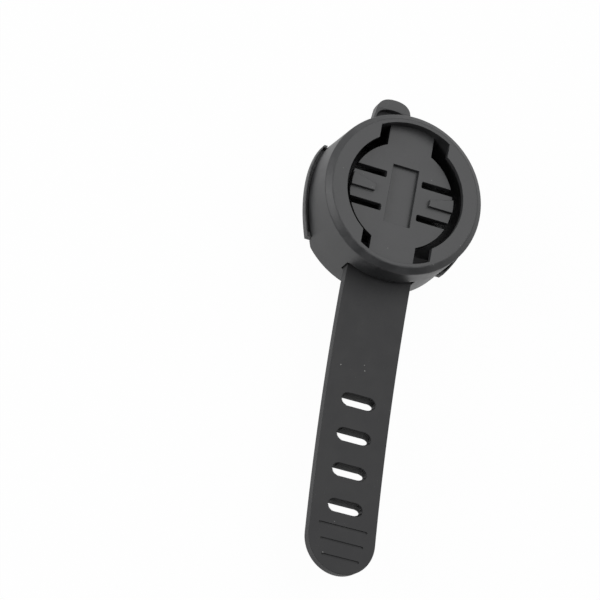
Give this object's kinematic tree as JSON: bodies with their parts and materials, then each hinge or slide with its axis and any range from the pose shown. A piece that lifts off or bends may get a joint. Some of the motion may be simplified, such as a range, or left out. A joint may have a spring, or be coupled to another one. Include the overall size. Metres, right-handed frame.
{
  "type": "bike computer mount",
  "caption": "Round handlebar mount for a bicycle computer: quarter-turn socket with keyed opening and sprung tongues, curved rubber bar pad, rear hook and slotted silicone strap.",
  "frame": {"origin": "on top of the handlebar, where the saddle's crown rests on it, under the middle of the socket", "axes": "+X along the handlebar; +Y from the strap's side to the hook; +Z along the socket's axis, out of the socket"},
  "size_m": [0.0375, 0.1076, 0.0209],
  "materials": {
    "housing_plastic": "fine-grained black moulded plastic, satin",
    "pad_rubber": "matte black rubber",
    "strap_silicone": "soft matte black silicone"
  },
  "bodies": {
    "root": {"socket_housing": "housing_plastic", "bar_pad": "pad_rubber", "strap": "strap_silicone"}
  },
  "joints": []
}
